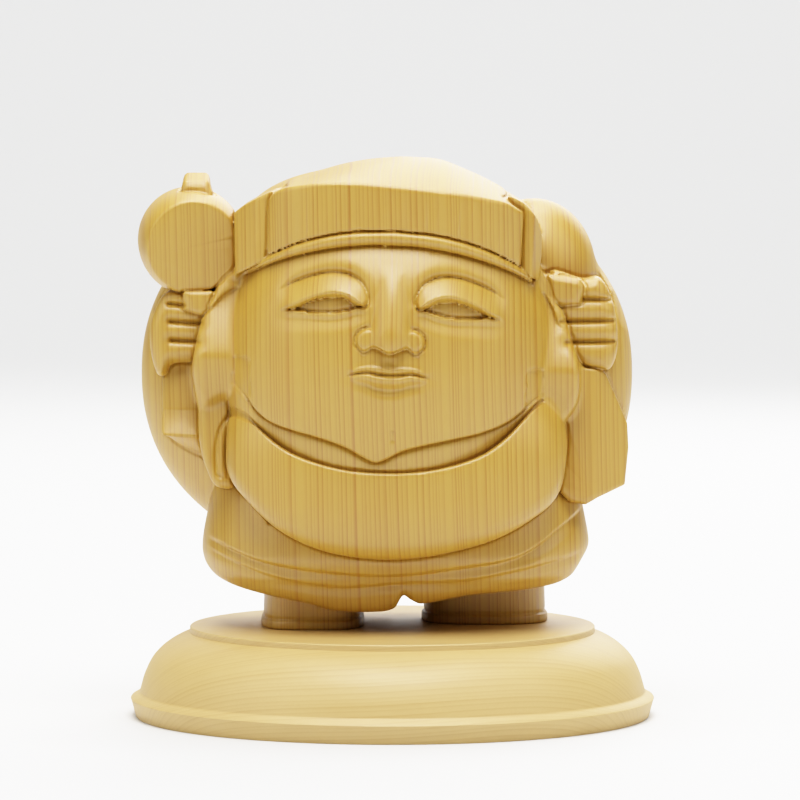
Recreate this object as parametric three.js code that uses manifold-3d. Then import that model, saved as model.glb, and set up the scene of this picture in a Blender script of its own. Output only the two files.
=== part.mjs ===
// A carved cypress figure of Daikoku, god of plenty, with his mallet and sack, on a turned wooden base.
// Millimetres, +Z up, the figure faces -Y. The origin is the centre of the base's underside.
import * as THREE from 'three';
import { mergeVertices } from 'three/addons/utils/BufferGeometryUtils.js';
import Module from 'manifold-3d';

const wasm = await Module();
wasm.setup();

// The turned base: a rim that flares out upwards, a rounded shoulder above it and a raised disc on top.
// The shoulder's points are shares of its way inwards from the rim to the disc and of its way up.
const base = {
  radius: 65,
  flare: 1.2,
  rimHeight: 4.8,
  rimSlope: [2.4, 2.1],
  shoulder: [[0.04, 0.08], [0.16, 0.28], [0.35, 0.62], [0.52, 0.81], [0.83, 0.97], [0.97, 1]],
  discRadius: 50.2,
  discHeight: 1,
  height: 22.3,
  sides: 54,
};

// All heights below are above the soles, which stand on the base's disc.
const head = { x: -0.8, y: 2, z: 65.5, roll: 2.5, power: 2.5, bottom: 30, top: 106 };
const headWidths = [
  [30, 33], [43.5, 38], [52.5, 41], [65.5, 42], [77.5, 40.5], [88.5, 37], [97.5, 34], [106, 31],
];
const headFronts = [
  [30, 36], [43.5, 39.6], [52.5, 41.2], [62.5, 42], [72.5, 42], [79, 41.9], [88, 40], [95.5, 36], [106, 32],
];
const headBack = 30;
const neckBack = 24;
const jaw = { step: 2, tip: 43.4, points: [[10, 47.3], [21.9, 50], [31.5, 53.1], [38, 58.4], [50, 66]] };
const collar = { middle: 40.9, points: [[11, 41.8], [22, 44.5], [31.2, 49.6], [38, 56.4], [50, 64]] };

const brow = { x: 16.5, z: 85, halfWidth: 11.8, height: 7, reach: 6.5, depth: 1.8 };
const lid = { x: 16.1, z: 84, radii: [10.8, 5.2, 5.6], proud: 0.3, tilt: 5 };
const eyeSlit = { x: 15.7, z: 80.4, halfWidth: 7.8, rise: 3.7, fall: 0.8, slope: 0.9, depth: 0.9 };
const nose = {
  bridge: { z: 82, radii: [4.3, 5, 13], proud: 1.5 },
  tip: { z: 73.4, radii: [4.8, 4.8, 3.8], proud: 2.7 },
  wing: { x: 4.9, z: 73.6, radii: [3.6, 3.6, 3.1], proud: 1.7 },
};
const mouth = { z: 64.3, halfWidth: 9, upper: 1.6, lower: 2.6, proud: 0.9, groove: 0.6 };

const browBand = { proud: 1.3, low: 95.7, drop: 8.2 };
// The cap: a front panel under a vault that narrows backwards, folded sides set back from it, and a full crown.
const panel = {
  proud: 2.6,
  power: 3,
  low: 99.2,
  drop: 8.1,
  plan: [[31.2, -50], [31.2, -28], [25.8, -4], [18, 18], [10, 44]],
};
const vault = { centre: [0, 8, 92.4], radii: [38.5, 62.6, 24], back: 0.55 };
const folds = {
  proud: 3.4,
  power: 2.6,
  inner: 29,
  low: 89.3,
  top: [[29, 106], [31, 105.8], [35, 103.6], [42, 99.4]],
};
const crown = { centre: [0, 4, 95], radii: [37.8, 35, 18.8], power: 2.3 };
const droop = { centre: [0, 20, 90], radii: [33, 23, 20], power: 2.2 };
const arch = { span: 31, power: 1.9 };

// How far the cutting plates reach past the figure in front of it, behind it and above it.
const clear = { front: -70, back: 60, top: 140 };

const ear = { x: 42, y: -12.5, z: 64.6, radii: [5.8, 5.4, 13.4], lean: 9, widening: 0.42 };

const belly = {
  centre: [0.5, -3, 36],
  radii: [46.5, 34.5, 34],
  power: 2.6,
  underside: [
    [-41, 62], [-41, 39], [-37.4, 34.7], [-27.5, 25.9], [-15.2, 20.6], [1.9, 19], [21.4, 22.5], [33.7, 28.2],
    [42.6, 37], [42.6, 62],
  ],
};
const robe = { x: 0.8, y: 4, power: 2.4, bottom: 11.5, top: 60 };
const robeWidths = [[11.5, 44.4], [13, 46.2], [19, 48], [28, 46.8], [40, 44], [60, 39]];
const robeFronts = [[11.5, 27], [14, 30.4], [19, 32], [28, 30], [40, 26], [60, 24]];
const robeBacks = [[11.5, 26], [14, 29], [19, 31], [40, 31], [60, 29]];
const hemLines = [
  { points: [[-41, 20.8], [-32.6, 17.7], [-17.7, 15.3], [-0.6, 14.3], [14.1, 15.9], [31.4, 19], [40, 24]] },
  { points: [[-40, 17.6], [-30.1, 14.2], [-14, 12]] },
  { points: [[19, 13.2], [30, 14.6], [39, 17]] },
];
const hemGroove = 0.9;

const legs = [
  { centre: [-14.2, 2, 15], radii: [17.4, 25.5, 9.4], power: 2.9 },
  { centre: [18.6, 3, 15.4], radii: [15.8, 25, 8.6], power: 2.9 },
];
const feet = [
  { x: -19.8, front: -14.5, back: 24, halfWidth: 12.8, power: 3.4 },
  { x: 23, front: -1, back: 29, halfWidth: 15.8, power: 2.8 },
];
const sole = { height: 2.4, lip: 0.5, footHeight: 14, taper: 0.02 };

const sack = { centre: [-1.4, 14, 62], radii: [61.3, 29.5, 48], power: 2.2 };
const sackNeck = { centre: [35, 8, 87], radii: [15.6, 16, 18.6], power: 2.05 };

const mallet = { centre: [-49.6, -4.5, 95.4], radius: 13, endRadius: 11.1, length: 23.4, yaw: 5, pitch: 6 };
const stub = { x: -48.2, y: -6, bottom: 104, top: 111.4, width: 7.6, topWidth: 6.4 };

// Each hand is a palm with four fingers stacked on its front and a thumb over the top finger.
const fingers = { heights: [82.6, 78.1, 73.6, 68.4], halves: [2.7, 2.5, 2.6, 3.1], palm: 75, power: 2.6 };
const hands = [
  { side: -1, x: -51.6, y: -5, halfWidth: 7.7, depth: 10, shift: 0, thumb: [-47.4, -11.6, 80.6] },
  { side: 1, x: 46.2, y: -5, halfWidth: 8.4, depth: 9.6, shift: 0.6, thumb: [42.6, -11.2, 84.2] },
];
const thumbRadii = [4.6, 4.6, 3.8];

const rightSleeve = {
  left: -57,
  right: -40,
  front: -13.4,
  back: 12,
  top: 72,
  bend: 48.4,
  bottom: 46.8,
  under: -4,
};
const leftSleeve = {
  front: -14, back: 12,
  outline: [
    [36, 46], [36, 75], [41, 75], [45.5, 66], [51.5, 65], [57.6, 51.5], [58.2, 44.5], [57.4, 35.6],
    [50.5, 32.6], [47.2, 31], [42.5, 32.6],
  ],
};
const rightShoulder = {
  front: -16.5,
  back: 10,
  outline: [[-47.2, 60], [-47.4, 48], [-46.4, 42], [-44.2, 37], [-41.6, 35.4], [-38, 36.4], [-38, 60]],
};
const leftShoulder = { centre: [40, -1, 46], radii: [8.6, 13, 16], power: 2.3 };

const wood = { figure: 0xd2ab68, base: 0xe3cc97 };

const rad = THREE.MathUtils.degToRad;
const signedPower = (v, p) => Math.sign(v) * Math.abs(v) ** p;

// A smooth value through a few knots [at, value], level beyond the ends.
function through(knots, at) {
  if (at <= knots[0][0]) return knots[0][1];
  const last = knots.length - 1;
  if (at >= knots[last][0]) return knots[last][1];
  const i = knots.findIndex((k) => k[0] > at) - 1;
  const slope = (j) => {
    const a = knots[Math.max(j - 1, 0)];
    const b = knots[Math.min(j + 1, last)];
    return (b[1] - a[1]) / (b[0] - a[0]);
  };
  const [x0, v0] = knots[i];
  const [x1, v1] = knots[i + 1];
  const span = x1 - x0;
  const t = (at - x0) / span;
  const rise = v1 - v0;
  const m0 = slope(i) * span;
  const m1 = slope(i + 1) * span;
  return v0 + m0 * t + (3 * rise - 2 * m0 - m1) * t * t + (m0 + m1 - 2 * rise) * t * t * t;
}

// A three.js geometry as a closed solid.
function solid(geometry) {
  const bare = geometry.clone();
  bare.deleteAttribute('normal');
  bare.deleteAttribute('uv');
  const merged = mergeVertices(bare, 1e-4);
  return new wasm.Manifold(new wasm.Mesh({
    numProp: 3,
    vertProperties: new Float32Array(merged.attributes.position.array),
    triVerts: new Uint32Array(merged.index.array),
  }));
}

// A closed solid as a three.js geometry.
function geometryOf(manifold) {
  const mesh = manifold.getMesh();
  return new THREE.BufferGeometry()
    .setAttribute('position', new THREE.BufferAttribute(mesh.vertProperties, 3))
    .setIndex(new THREE.BufferAttribute(mesh.triVerts, 1));
}

const join = (solids) => solids.reduce((a, b) => a.add(b));

// A solid turned and moved as a whole.
function placed(form, matrix) {
  const mesh = form.getMesh();
  const { array } = new THREE.BufferAttribute(mesh.vertProperties, 3).applyMatrix4(matrix);
  return new wasm.Manifold(new wasm.Mesh({ numProp: 3, vertProperties: array, triVerts: mesh.triVerts }));
}

function movePoints(geometry, move) {
  const position = geometry.attributes.position;
  const point = new THREE.Vector3();
  for (let i = 0; i < position.count; i++) {
    move(point.fromBufferAttribute(position, i), i);
    position.setXYZ(i, point.x, point.y, point.z);
  }
  return geometry;
}

// A sphere pulled out to a rounder or squarer body. power 2 is an ellipsoid, and more is boxier.
function body({ centre, radii, power = 2 }, columns = 24, rows = 16, turn = null, shape = null) {
  const sphere = new THREE.SphereGeometry(1, columns, rows).rotateX(Math.PI / 2);
  const turned = turn && new THREE.Euler(...turn.map(rad));
  return solid(movePoints(sphere, (p) => {
    const spread = Math.abs(p.x) ** power + Math.abs(p.y) ** power + Math.abs(p.z) ** power;
    p.multiplyScalar(spread ** (-1 / power));
    if (shape) shape(p);
    p.set(p.x * radii[0], p.y * radii[1], p.z * radii[2]);
    if (turned) p.applyEuler(turned);
    p.add(new THREE.Vector3(...centre));
  }));
}

// A body built of level sections: a sphere whose rows are the levels and whose poles close them flat.
// The front half of each section has its own number of columns, so that the seen side is finer.
function stack(levels, sectionAt, frontColumns, backColumns = frontColumns) {
  const rows = levels.length + 1;
  const columns = frontColumns + backColumns;
  const sphere = new THREE.SphereGeometry(1, columns, rows).rotateX(Math.PI / 2);
  return solid(movePoints(sphere, (p, i) => {
    const row = Math.floor(i / (columns + 1));
    const level = levels[levels.length - Math.min(Math.max(row, 1), rows - 1)];
    const { x, y, width, front, back, power } = sectionAt(level);
    if (row === 0 || row === rows) {
      p.set(x, y, level);
      return;
    }
    const column = (i % (columns + 1)) - frontColumns;
    const angle = (Math.PI * column) / (column < 0 ? frontColumns : backColumns);
    const along = Math.sin(angle);
    p.set(
      x + width * signedPower(Math.cos(angle), 2 / power),
      y + (along > 0 ? back : front) * signedPower(along, 2 / power),
      level,
    );
  }));
}

function levelsBetween(low, high, count) {
  return Array.from({ length: count }, (_, i) => low + ((high - low) * i) / (count - 1));
}

// How far forward a section reaches at a sideways place x.
function frontAt(section, x) {
  const share = Math.min(Math.abs(x - section.x) / section.width, 0.999);
  return section.y - section.front * (1 - share ** section.power) ** (1 / section.power);
}

// A plate whose outline is drawn in the front view and which runs from one depth to another.
function plate(outline, front, back) {
  const shape = new THREE.Shape(outline.map(([x, z]) => new THREE.Vector2(x, z)));
  const slab = new THREE.ExtrudeGeometry(shape, { depth: back - front, bevelEnabled: false });
  return solid(slab.rotateX(Math.PI / 2).translate(0, back, 0));
}

// A plate whose outline is drawn in the plan and which runs from one height to another.
function planPlate(outline, low, high) {
  const shape = new THREE.Shape(outline.map(([x, y]) => new THREE.Vector2(x, y)));
  const slab = new THREE.ExtrudeGeometry(shape, { depth: high - low, bevelEnabled: false });
  return solid(slab.translate(0, 0, low));
}

// The two mirrored halves of a line drawn from the middle outwards, from left to right.
const mirrored = (points) => [...points.map(([x, z]) => [-x, z]).reverse(), ...points];

// A V cut along a line that lies on a surface.
function vCut(points, size) {
  const path = new THREE.CatmullRomCurve3(points.map((p) => new THREE.Vector3(...p)));
  const corners = [[size, 0], [0, size], [-size, 0], [0, -size]];
  const section = new THREE.Shape(corners.map((p) => new THREE.Vector2(...p)));
  return solid(new THREE.ExtrudeGeometry(section, { steps: points.length * 4, extrudePath: path }));
}

const archAt = (x, high, drop) => high - drop * (Math.abs(x) / arch.span) ** arch.power;

function headSection(z, proud = 0, power = head.power) {
  return {
    x: 0,
    y: head.y,
    width: through(headWidths, z) + proud,
    front: through(headFronts, z) + proud,
    back: headBack,
    power,
  };
}

const faceFront = (x, z, proud = 0) => frontAt(headSection(z, proud), x);

// The region of the front view above a line, as a cutter.
function above(line, top = clear.top) {
  return plate([...line, [line[line.length - 1][0], top], [line[0][0], top]], clear.front, clear.back);
}

function faceForm() {
  const levels = levelsBetween(head.bottom, head.top, 17);
  const whole = stack(levels, (z) => headSection(z), 30, 6);
  const line = mirrored(jaw.points);
  line.splice(line.length / 2, 0, [-0.8, jaw.tip]);
  return whole.intersect(above(line));
}

function neckForm() {
  const section = (z) => ({ ...headSection(z, -jaw.step), back: neckBack });
  return stack(levelsBetween(head.bottom, head.z, 4), section, 22, 6);
}

// One eye: a hollow under the brow, a swelling lid in it and a slit for the half-closed eye.
function eyeForms(side) {
  const socket = body({
    centre: [side * brow.x, faceFront(brow.x, brow.z) - brow.reach + brow.depth, brow.z],
    radii: [brow.halfWidth, brow.reach, brow.height],
    power: 2.2,
  }, 18, 12);
  const swelling = body({
    centre: [side * lid.x, faceFront(lid.x, lid.z) + lid.radii[1] - lid.proud, lid.z],
    radii: lid.radii,
    power: 2.2,
  }, 20, 12, [0, side * lid.tilt, side * 22]);
  const arc = (count, rise) => levelsBetween(-1, 1, count).map((t) => [
    side * eyeSlit.x + t * eyeSlit.halfWidth,
    eyeSlit.z + rise * (1 - t * t) - side * t * eyeSlit.slope,
  ]);
  const almond = [...arc(7, -eyeSlit.fall), ...arc(7, eyeSlit.rise).reverse().slice(1, -1)];
  const front = faceFront(lid.x, lid.z) - lid.proud;
  return { socket, swelling, slit: plate(almond, front - 6, front + eyeSlit.depth) };
}

// A rounded body that stands out of the face by its own amount.
function onFace({ x = 0, z, radii, proud, power }, columns, rows) {
  return body({ centre: [x, faceFront(x, z) + radii[1] - proud, z], radii, power }, columns, rows);
}

function noseForm() {
  const { bridge, tip, wing } = nose;
  return join([
    onFace(bridge, 14, 10),
    onFace(tip, 16, 10),
    onFace(wing, 12, 8),
    onFace({ ...wing, x: -wing.x }, 12, 8),
  ]);
}

function mouthForms() {
  const lip = (height, z) => onFace({ z, radii: [mouth.halfWidth, 4, height], proud: mouth.proud }, 14, 8);
  const upper = lip(mouth.upper, mouth.z + mouth.upper * 0.7);
  const lower = lip(mouth.lower, mouth.z - mouth.lower * 0.7);
  const line = levelsBetween(-1, 1, 5).map((t) => {
    const x = t * mouth.halfWidth * 0.9;
    return [x, faceFront(x, mouth.z) - mouth.proud * (1 - t * t), mouth.z];
  });
  return { lips: upper.add(lower), line: vCut(line, mouth.groove) };
}

function browBandForm() {
  const levels = levelsBetween(80, 108, 5);
  const ring = stack(levels, (z) => headSection(z, browBand.proud), 26, 4);
  const line = levelsBetween(-42, 42, 13).map((x) => [x, archAt(x, browBand.low, browBand.drop)]);
  return ring.intersect(above(line)).intersect(plate([[-50, 70], [50, 70], [50, 120], [-50, 120]], -60, -6));
}

// The front panel and the vault over it, which bend into one another along the panel's top edge.
function capFrontForm() {
  const section = (z) => headSection(Math.min(z, head.top), panel.proud, panel.power);
  const ring = stack(levelsBetween(84, 118, 5), section, 24, 4);
  const dome = body(vault, 28, 14, null, (p) => {
    if (p.y > 0) p.y *= vault.back;
  });
  const line = levelsBetween(-42, 42, 13).map((x) => [x, archAt(x, panel.low, panel.drop)]);
  const sides = planPlate([...panel.plan, ...panel.plan.map(([x, y]) => [-x, y]).reverse()], 80, 120);
  return ring.intersect(dome).intersect(above(line)).intersect(sides);
}

function capSidesForm() {
  const section = (z) => headSection(Math.min(z, 100), folds.proud, folds.power);
  const ring = stack(levelsBetween(84, 112, 5), section, 26, 8);
  const outline = [[folds.inner, folds.low], [42, folds.low], ...[...folds.top].reverse()];
  const rightSide = plate(outline, -60, 10);
  const leftSide = plate(outline.map(([x, z]) => [-x, z]).reverse(), -60, 10);
  return ring.intersect(rightSide.add(leftSide));
}

// The soft crown: full over the sides and hanging low behind.
function crownForm() {
  const puff = body(crown, 28, 12);
  const under = plate([[-70, 60], [70, 60], [70, folds.low], [-70, folds.low]], -70, 1);
  return puff.subtract(under).add(body(droop, 18, 8));
}

function earForm(side) {
  const lobe = body({ centre: [0, 0, 0], radii: ear.radii, power: 2.2 }, 14, 10, null, (p) => {
    p.x *= 1 - ear.widening * p.z;
  });
  const hollow = body({ centre: [-0.6, -5.2, 6], radii: [2.2, 1.8, 4.4] }, 10, 8);
  const lean = new THREE.Matrix4().makeRotationY(rad(-side * ear.lean));
  return placed(lobe.subtract(hollow), lean.setPosition(side * ear.x, ear.y, ear.z));
}

function headForm() {
  const eyes = [-1, 1].map(eyeForms);
  const { lips, line } = mouthForms();
  let face = faceForm();
  for (const eye of eyes) face = face.subtract(eye.socket);
  for (const eye of eyes) face = face.add(eye.swelling).subtract(eye.slit);
  face = join([face, noseForm(), lips]).subtract(line);
  const capForms = [browBandForm(), capFrontForm(), capSidesForm(), crownForm()];
  const parts = [face, neckForm(), ...capForms, earForm(-1), earForm(1)];
  const roll = new THREE.Matrix4().makeTranslation(head.x, 0, head.z)
    .multiply(new THREE.Matrix4().makeRotationY(rad(head.roll)))
    .multiply(new THREE.Matrix4().makeTranslation(0, 0, -head.z));
  return placed(join(parts), roll);
}

function robeSection(z) {
  return {
    x: robe.x,
    y: robe.y,
    width: through(robeWidths, z),
    front: through(robeFronts, z),
    back: through(robeBacks, z),
    power: robe.power,
  };
}

function robeForm() {
  const levels = [robe.bottom, 12.4, 14, 17, 20, 25, 31, 38, 47, robe.top];
  let form = stack(levels, robeSection, 22, 12);
  form = join([form, ...legs.map((leg) => body(leg, 16, 8))]);
  for (const { points } of hemLines) {
    form = form.subtract(vCut(points.map(([x, z]) => [x, frontAt(robeSection(z), x), z]), hemGroove));
  }
  return form;
}

function bellyForm() {
  const line = mirrored([[0.5, collar.middle], ...collar.points]);
  const below = plate([...line, [60, 0], [-60, 0]].reverse(), clear.front, clear.back);
  return body(belly, 30, 18).intersect(below).intersect(plate(belly.underside, clear.front, clear.back));
}

function footForm(foot) {
  const middle = (foot.front + foot.back) / 2;
  const reach = (foot.back - foot.front) / 2;
  const section = (z) => {
    const upper = z > sole.height;
    const size = (upper ? -sole.lip : 0) - (z * sole.taper);
    return {
      x: foot.x,
      y: middle,
      width: foot.halfWidth + size,
      front: reach + size,
      back: reach + size,
      power: foot.power,
    };
  };
  return stack([0, sole.height, sole.height + 0.3, sole.footHeight], section, 14, 6);
}

function malletForm() {
  const half = mallet.length / 2;
  const profile = [[0, -half], [mallet.endRadius - 1.4, -half], [mallet.endRadius, -half + 1]];
  for (const t of levelsBetween(-0.75, 0.75, 7)) {
    profile.push([mallet.radius - (mallet.radius - mallet.endRadius) * t * t * 0.8, t * half]);
  }
  profile.push([mallet.endRadius, half - 1], [mallet.endRadius - 1.4, half], [0, half]);
  const drum = solid(new THREE.LatheGeometry(profile.map(([r, y]) => new THREE.Vector2(r, y)), 24));
  const end = stack([stub.bottom, stub.top - 0.6, stub.top], (z) => {
    const rise = (z - stub.bottom) / (stub.top - stub.bottom);
    const half = (stub.width + (stub.topWidth - stub.width) * rise) / 2 - (z === stub.top ? 0.5 : 0);
    return { x: stub.x, y: stub.y, width: half, front: half, back: half, power: 6 };
  }, 8);
  const turn = new THREE.Euler(rad(mallet.pitch), 0, rad(mallet.yaw));
  return placed(drum, new THREE.Matrix4().makeRotationFromEuler(turn).setPosition(...mallet.centre)).add(end);
}

function handForm(hand) {
  const palm = body({
    centre: [hand.x, hand.y + 3, fingers.palm + hand.shift],
    radii: [hand.halfWidth, hand.depth, 11],
    power: fingers.power,
  }, 12, 8);
  const stacked = fingers.heights.map((z, i) => body({
    centre: [hand.x - hand.side * 0.6, hand.y, z + hand.shift],
    radii: [hand.halfWidth, hand.depth, fingers.halves[i]],
    power: fingers.power,
  }, 10, 5));
  const thumb = body({ centre: hand.thumb, radii: thumbRadii, power: 2.6 }, 10, 8);
  return join([palm, ...stacked, thumb]);
}

// The right sleeve hangs straight from the wrist, and its lower end is cut back.
function rightSleeveForm() {
  const s = rightSleeve;
  const corners = [
    [s.front, s.top], [s.front, s.bend], [s.under, s.bottom], [s.back, s.bottom], [s.back, s.top],
  ];
  const side = new THREE.Shape(corners.map(([y, z]) => new THREE.Vector2(y, z)));
  const slab = new THREE.ExtrudeGeometry(side, { depth: s.right - s.left, bevelEnabled: false });
  return solid(movePoints(slab, (p) => p.set(s.left + p.z, p.x, p.y)));
}

const boardForm = ({ outline, front, back }) => plate(outline, front, back);

function figureForm() {
  const parts = [
    headForm(),
    robeForm(),
    bellyForm(),
    ...feet.map(footForm),
    body(sack, 34, 18),
    body(sackNeck, 18, 10),
    malletForm(),
    ...hands.map(handForm),
    rightSleeveForm(),
    boardForm(leftSleeve),
    boardForm(rightShoulder),
    body(leftShoulder, 12, 8),
  ];
  return join(parts);
}

function baseForm() {
  const [slopeRun, slopeRise] = base.rimSlope;
  const coveRadius = base.radius - slopeRun;
  const coveHeight = base.rimHeight + slopeRise;
  const shoulderTop = base.height - base.discHeight;
  const rim = [[0, 0], [base.radius - base.flare, 0], [base.radius, base.rimHeight], [coveRadius, coveHeight]];
  const disc = [[base.discRadius, shoulderTop], [base.discRadius, base.height], [0, base.height]];
  const points = (list) => list.map(([r, h]) => new THREE.Vector2(r, h));
  const shoulderPoints = base.shoulder.map(([inwards, up]) => [
    coveRadius + (base.discRadius - coveRadius) * inwards,
    coveHeight + (shoulderTop - coveHeight) * up,
  ]);
  const shoulder = new THREE.SplineCurve(points(shoulderPoints)).getPoints(6);
  const profile = [...points(rim), ...shoulder, ...points(disc)];
  return solid(new THREE.LatheGeometry(profile, base.sides).rotateX(Math.PI / 2));
}

function piece(name, form, colour) {
  const material = new THREE.MeshStandardMaterial({ color: colour, roughness: 0.55, metalness: 0 });
  const mesh = new THREE.Mesh(geometryOf(form), material);
  mesh.name = name;
  return mesh;
}

const object = new THREE.Group();
const figure = piece('figure', figureForm(), wood.figure);
figure.position.z = base.height;
object.add(figure, piece('base', baseForm(), wood.base));

export default object;
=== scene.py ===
import math

import bpy
import numpy as np
import openvdb
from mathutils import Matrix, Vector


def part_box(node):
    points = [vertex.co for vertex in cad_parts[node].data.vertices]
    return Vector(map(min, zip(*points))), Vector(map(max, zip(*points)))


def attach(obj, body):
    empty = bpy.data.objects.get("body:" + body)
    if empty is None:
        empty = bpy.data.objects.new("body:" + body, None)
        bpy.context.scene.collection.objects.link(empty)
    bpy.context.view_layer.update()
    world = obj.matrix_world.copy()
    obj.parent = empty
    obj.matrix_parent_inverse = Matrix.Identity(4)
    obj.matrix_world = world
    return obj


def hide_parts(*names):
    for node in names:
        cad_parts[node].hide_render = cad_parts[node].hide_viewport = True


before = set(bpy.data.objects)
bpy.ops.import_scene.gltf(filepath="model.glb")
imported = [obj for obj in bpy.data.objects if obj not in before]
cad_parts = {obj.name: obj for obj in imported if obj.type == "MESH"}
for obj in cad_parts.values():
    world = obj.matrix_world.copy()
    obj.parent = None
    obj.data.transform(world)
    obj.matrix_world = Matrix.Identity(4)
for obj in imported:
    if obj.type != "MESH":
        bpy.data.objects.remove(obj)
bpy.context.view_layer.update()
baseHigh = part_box("base")[1]

mm = 0.001
# the soles' height above the table: all heights of the carving are above the soles
standing = baseHigh.z / mm


# The figure is carved in one block of distances: a grid of points, each holding how far it
# is from the wood's surface, less than zero inside. Lengths are millimetres.
block = {
    "low": (-65.0, -47.0, -1.3),
    "high": (62.5, 46.0, 118.0),
    "cell": 0.42,  # between two points of the grid
    "far": 15.0,  # what a point holds before anything is carved
    "margin": 2.5,  # how far round a form its distances are worked out
    "pressFade": 6.0,  # over this depth a pressed relief fades away
    "creaseFade": 10.0,  # over this length a crease runs out
    "groundLayer": -0.6,  # below this height the grid stays empty
    "faces": 190000,  # triangles of the finished surface, at most
}
farOff = 99.0  # more than any distance in the block
tiny = 1e-6  # keeps a share of two distances from dividing by nothing
offAxis = 1e-4  # and the slope of a round form, on its axes

gridAxes = [
    (low + block["cell"] * np.arange(math.ceil((high - low) / block["cell"]) + 1)).astype(np.float32)
    for low, high in zip(block["low"], block["high"])
]
field = np.full([len(axis) for axis in gridAxes], block["far"], np.float32)


def smooth(t):
    t = np.clip(t, 0, 1)
    return t * t * (3 - 2 * t)


# 0 up to the start, 1 beyond the length
def rises(value, start, length):
    return smooth((value - start) / length)


# 1 until a length before the end, then down to 0
def fades(value, end, length):
    return smooth((end - value) / length)


def hill(distance, size):
    return np.exp(-(distance / size) ** 2)


def softMin(a, b, blend):
    lower = np.minimum(a, b)
    if blend > 0:
        share = np.maximum(blend - np.abs(a - b), 0) / blend
        lower -= share * share * (blend / 4)
    return lower


def softMax(a, b, blend):
    return -softMin(-a, -b, blend)


# a smooth value through knots (place, value), level beyond the ends
def through(knots, at):
    places, values = np.array(knots, np.float32).T
    slopes = np.gradient(values) / np.gradient(places)
    at = np.clip(at, places[0], places[-1])
    i = np.clip(np.searchsorted(places, at, side="right") - 1, 0, len(places) - 2)
    span = places[i + 1] - places[i]
    t = (at - places[i]) / span
    rise = values[i + 1] - values[i]
    startSlope, endSlope = slopes[i] * span, slopes[i + 1] * span
    bend = (3 * rise - 2 * startSlope - endSlope) * t * t + (startSlope + endSlope - 2 * rise) * t ** 3
    return (values[i] + startSlope * t + bend).astype(np.float32)


# a smooth line drawn through points
def drawn(points, steps=6, closed=False):
    points = np.array(points, float)
    if closed:
        ends = points[-1:], points[:2]
    else:
        ends = 2 * points[:1] - points[1:2], 2 * points[-1:] - points[-2:-1]
    p = np.vstack([ends[0], points, ends[1]])
    line = []
    for i in range(1, len(p) - 2):
        for t in np.arange(steps) / steps:
            line.append(0.5 * (2 * p[i] + (p[i + 1] - p[i - 1]) * t
                               + (2 * p[i - 1] - 5 * p[i] + 4 * p[i + 1] - p[i + 2]) * t * t
                               + (3 * p[i] - p[i - 1] - 3 * p[i + 1] + p[i + 2]) * t ** 3))
    if not closed:
        line.append(p[-2])
    return np.array(line)


def segmentDistance(start, end, a, b):
    run, rise = end[0] - start[0], end[1] - start[1]
    pa, pb = a - start[0], b - start[1]
    t = np.clip((pa * run + pb * rise) / (run * run + rise * rise + tiny ** 2), 0, 1)
    return np.hypot(pa - run * t, pb - rise * t)


# distance to a drawn line
def away(line, a, b):
    best = np.full(np.broadcast_shapes(a.shape, b.shape), farOff, np.float32)
    for start, end in zip(line[:-1], line[1:]):
        best = np.minimum(best, segmentDistance(start, end, a, b))
    return best


# distance to a closed outline, less than zero within it
def within(outline, a, b):
    best = np.full(np.broadcast_shapes(a.shape, b.shape), farOff, np.float32)
    inside = np.zeros(best.shape, bool)
    for start, end in zip(outline, np.roll(outline, -1, 0)):
        best = np.minimum(best, segmentDistance(start, end, a, b))
        if start[1] != end[1]:
            crossing = start[0] + (b - start[1]) * (end[0] - start[0]) / (end[1] - start[1])
            inside ^= ((b >= start[1]) != (b >= end[1])) & (a < crossing)
    return np.where(inside, -best, best)


def windowOf(low, high, margin):
    spans = tuple(
        slice(int(np.searchsorted(axis, a - margin)), int(np.searchsorted(axis, b + margin)))
        for axis, a, b in zip(gridAxes, low, high)
    )
    x, y, z = (axis[span] for axis, span in zip(gridAxes, spans))
    return spans, x[:, None, None], y[None, :, None], z[None, None, :]


# A form is its lowest corner, highest corner and distance. Where two forms meet, the knife leaves
# a fine groove, the crease, which runs out towards creaseEnd along y.
def addForm(form, blend=0.0, crease=0.0, creaseEnd=90.0):
    spans, x, y, z = windowOf(form[0], form[1], block["margin"])
    added = form[2](x, y, z)
    joined = softMin(field[spans], added, blend)
    if crease > 0:
        depth = crease * fades(y, creaseEnd, block["creaseFade"])
        joined = np.maximum(joined, depth - np.hypot(field[spans], added))
    field[spans] = joined


def cutForm(form):
    spans, x, y, z = windowOf(form[0], form[1], block["margin"])
    field[spans] = np.maximum(field[spans], -form[2](x, y, z))


# Pushes the carved surface out (or in, below zero) by relief(x, z), seen from the front
# (facing -1) or from the back (facing 1). The reach says how far behind the middle it starts.
def press(low, high, relief, facing, reach):
    spans, x, y, z = windowOf(low, high, 0)
    part = field[spans]
    share = smooth((facing * y + reach) / block["pressFade"])
    at = np.arange(part.shape[1])[None, :, None] - facing * relief(x, z) * share / block["cell"]
    at = np.clip(at, 0, part.shape[1] - 1.001)
    first = at.astype(int)
    rest = (at - first).astype(np.float32)
    near, beyond = (np.take_along_axis(part, first + step, 1) for step in (0, 1))
    field[spans] = near * (1 - rest) + beyond * rest


# distance to the shape on which the parts, each raised to the power, add up to one
def toShape(parts, radii, power):
    whole = sum(part ** power for part in parts)
    size = whole ** (1 / power)
    slope = sum((part ** (power - 1) / radius) ** 2 for part, radius in zip(parts, radii))
    return (size - 1) * whole / (size * np.sqrt(slope))


# a ball pulled to three radii, boxier with more power
def egg(centre, radii, power=2.0):
    def distance(x, y, z):
        parts = [np.abs(v - c) / radius + offAxis for v, c, radius in zip((x, y, z), centre, radii)]
        return toShape(parts, radii, power)

    return np.array(centre) - radii, np.array(centre) + radii, distance


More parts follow.
